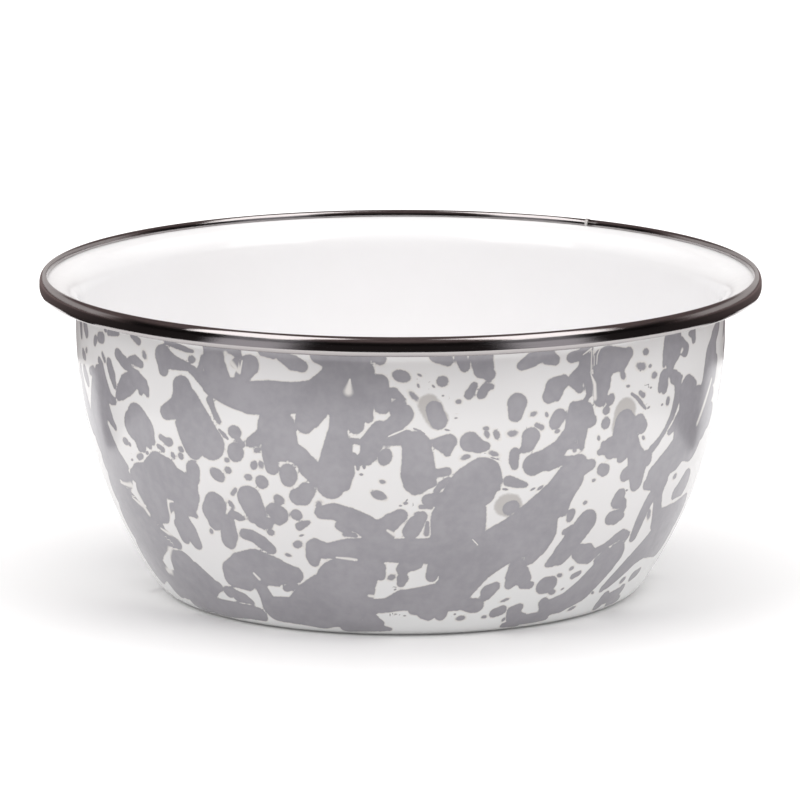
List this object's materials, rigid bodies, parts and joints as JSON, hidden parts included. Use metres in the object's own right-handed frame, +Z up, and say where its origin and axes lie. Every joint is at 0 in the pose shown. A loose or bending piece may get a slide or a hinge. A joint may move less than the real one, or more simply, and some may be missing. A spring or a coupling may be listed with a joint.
{
  "type": "enamel bowl",
  "caption": "Round enamelled steel bowl with curved sides, a flat foot, a flared lip and a stainless rim band. White inside, marbled grey and white outside.",
  "frame": {"origin": "centre of the foot, on the surface that the bowl stands on", "axes": "+Z up along the bowl's axis, -Y towards the side that the picture shows, +X to that side's right"},
  "size_m": [0.16, 0.16, 0.0713],
  "materials": {
    "steel": "bare pressed sheet",
    "ground_enamel": "fired dark ground coat",
    "marbled_enamel": "glossy, white with grey marbling",
    "white_enamel": "glossy white",
    "stainless": "polished stainless strip",
    "weld_metal": "as welded"
  },
  "bodies": {
    "root": {"steel_bowl": "steel", "outer_ground_coat": "ground_enamel", "inner_ground_coat": "ground_enamel", "outer_cover_coat": "marbled_enamel", "inner_cover_coat": "white_enamel", "rim_band": "stainless", "rim_weld": "weld_metal"}
  },
  "joints": []
}
